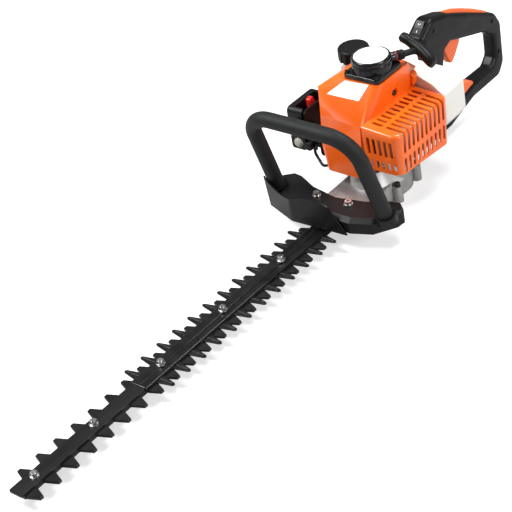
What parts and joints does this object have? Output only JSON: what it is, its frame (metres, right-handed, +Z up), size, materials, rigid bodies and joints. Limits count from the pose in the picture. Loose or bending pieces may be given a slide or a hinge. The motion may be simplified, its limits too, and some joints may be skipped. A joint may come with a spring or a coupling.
{
  "type": "hedge trimmer",
  "caption": "Petrol hedge trimmer with a long double-sided reciprocating blade, loop front handle, closed rear handle and a rope starter.",
  "frame": {"origin": "Where the crankshaft axis meets the flat underside of the gear case.", "axes": "+Z up, the blade points along -Y, +X is the exhaust side."},
  "size_m": [0.2377, 1.101, 0.2239],
  "materials": {
    "blade_steel": "dark oxide",
    "guard_steel": "dark pressed steel",
    "bright_steel": "zinc plated",
    "black_screw": "black oxide",
    "case_aluminium": "die cast aluminium",
    "muffler_steel": "stamped steel",
    "cover_plastic": "fine texture",
    "shield_plastic": "satin",
    "grip_rubber": "fine grain",
    "handle_tube": "black",
    "tank_plastic": "translucent white",
    "orange_plastic": "moulded",
    "red_plastic": "moulded",
    "maroon_plastic": "moulded",
    "badge_white": "plain",
    "clear_bulb": "translucent",
    "switch_plastic": "moulded",
    "cable_black": "sheath",
    "filter_foam": "foam",
    "clutch_lining": "sintered"
  },
  "bodies": {
    "engine_and_frame": {"air_cleaner_base": "cover_plastic", "air_cleaner_cover": "cover_plastic", "air_filter": "filter_foam", "blade_bolts": "bright_steel", "bracket_bolts": "bright_steel", "carburettor": "case_aluminium", "cover_screws": "black_screw", "crankcase": "case_aluminium", "cylinder": "case_aluminium", "drive_bearings": "bright_steel", "engine_cover": "orange_plastic", "front_handle_grip": "grip_rubber", "front_handle_tube": "handle_tube", "front_shield": "shield_plastic", "fuel_hose": "grip_rubber", "fuel_tank": "tank_plastic", "gear_case": "case_aluminium", "gear_case_cover": "case_aluminium", "gear_case_screws": "black_screw", "guide_bar": "blade_steel", "handle_base": "cover_plastic", "handle_fasteners": "black_screw", "handle_wedge": "orange_plastic", "ignition_coil": "cover_plastic", "intake_block": "cover_plastic", "main_bearings": "bright_steel", "muffler": "muffler_steel", "muffler_cover": "orange_plastic", "rear_handle_left": "cover_plastic", "rear_handle_right": "cover_plastic", "recoil_spring": "bright_steel", "rope_guide": "maroon_plastic", "rubber_mounts": "grip_rubber", "spark_plug": "grip_rubber", "starter_badge": "badge_white", "starter_housing": "cover_plastic", "throttle_cable": "cable_black", "tooth_guard": "guard_steel"},
    "upper_blade": {"blade_upper": "blade_steel", "conrod_upper": "bright_steel"},
    "lower_blade": {"blade_lower": "blade_steel", "conrod_lower": "bright_steel"},
    "crank": {"crankshaft": "bright_steel", "flywheel": "case_aluminium", "clutch_shoes": "clutch_lining"},
    "drum": {"clutch_drum": "bright_steel"},
    "gear": {"drive_gear": "bright_steel"},
    "piston": {"piston": "case_aluminium", "piston_rod": "bright_steel"},
    "starter_grip": {"starter_handle": "grip_rubber"},
    "pulley": {"starter_pulley": "cover_plastic", "starter_rope": "cable_black"},
    "trigger": {"throttle_trigger": "orange_plastic"},
    "lockout": {"lockout_lever": "orange_plastic"},
    "switch": {"stop_switch": "switch_plastic"},
    "choke": {"choke_lever": "red_plastic"},
    "primer": {"primer_bulb": "clear_bulb"},
    "cap": {"fuel_cap": "cover_plastic"},
    "cleaner_knob": {"cover_knob": "cover_plastic"},
    "adjuster": {"cable_adjuster": "cover_plastic"}
  },
  "joints": [
    {"name": "blade_slide", "type": "slide", "parent": "engine_and_frame", "child": "upper_blade", "axis": [0, 1, 0], "range_m": [-0.008, 0.008]},
    {"name": "lower_blade_slide", "type": "slide", "parent": "engine_and_frame", "child": "lower_blade", "axis": [0, 1, 0], "range_m": [-0.008, 0.008]},
    {"name": "crank_turn", "type": "hinge", "parent": "engine_and_frame", "child": "crank", "pos_m": [0, 0, 0.092], "axis": [0, 0, 1], "continuous": true},
    {"name": "gear_turn", "type": "hinge", "parent": "engine_and_frame", "child": "gear", "pos_m": [0, -0.035, 0.02], "axis": [0, 0, 1], "continuous": true},
    {"name": "drum_turn", "type": "hinge", "parent": "engine_and_frame", "child": "drum", "pos_m": [0, 0, 0.04], "axis": [0, 0, 1], "continuous": true},
    {"name": "piston_slide", "type": "slide", "parent": "engine_and_frame", "child": "piston", "axis": [0, 1, 0], "range_m": [0, 0.02]},
    {"name": "starter_pull", "type": "slide", "parent": "engine_and_frame", "child": "starter_grip", "axis": [0.5736, 0.8192, 0], "range_m": [0, 0.6], "stiffness_N_per_m": 8},
    {"name": "pulley_turn", "type": "hinge", "parent": "engine_and_frame", "child": "pulley", "pos_m": [0, 0, 0.202], "axis": [0, 0, 1], "range_deg": [-1710, 10]},
    {"name": "throttle_squeeze", "type": "hinge", "parent": "engine_and_frame", "child": "trigger", "pos_m": [0, 0.17, 0.16], "axis": [1, 0, 0], "range_deg": [0, 14], "stiffness_Nm_per_rad": 0.25, "springref_deg": -5.73},
    {"name": "lockout_press", "type": "hinge", "parent": "engine_and_frame", "child": "lockout", "pos_m": [0, 0.188, 0.184], "axis": [1, 0, 0], "range_deg": [-4, 0], "stiffness_Nm_per_rad": 0.3, "springref_deg": 5.73},
    {"name": "switch_rock", "type": "hinge", "parent": "engine_and_frame", "child": "switch", "pos_m": [0, 0.1185, 0.2005], "axis": [1, 0, 0], "range_deg": [-8, 8]},
    {"name": "choke_turn", "type": "hinge", "parent": "engine_and_frame", "child": "choke", "pos_m": [-0.104, -0.024, 0.123], "axis": [1, 0, 0], "range_deg": [0, 22]},
    {"name": "primer_press", "type": "slide", "parent": "engine_and_frame", "child": "primer", "axis": [0, 1, 0], "range_m": [0, 0.0015], "stiffness_N_per_m": 400},
    {"name": "cap_turn", "type": "hinge", "parent": "engine_and_frame", "child": "cap", "pos_m": [-0.088, 0.0705, 0.165], "axis": [0, 0, 1], "continuous": true},
    {"name": "cleaner_knob_turn", "type": "hinge", "parent": "engine_and_frame", "child": "cleaner_knob", "pos_m": [-0.104, -0.06, 0.112], "axis": [0, 1, 0], "continuous": true},
    {"name": "adjuster_turn", "type": "hinge", "parent": "engine_and_frame", "child": "adjuster", "pos_m": [-0.082, -0.06, 0.084], "axis": [0, 1, 0], "continuous": true}
  ],
  "couplings": [
    {"joint": "lower_blade_slide", "follows": "blade_slide", "ratio": -1},
    {"joint": "drum_turn", "follows": "gear_turn", "ratio": -3.6667},
    {"joint": "pulley_turn", "follows": "starter_pull", "rad_per_m": -49}
  ]
}
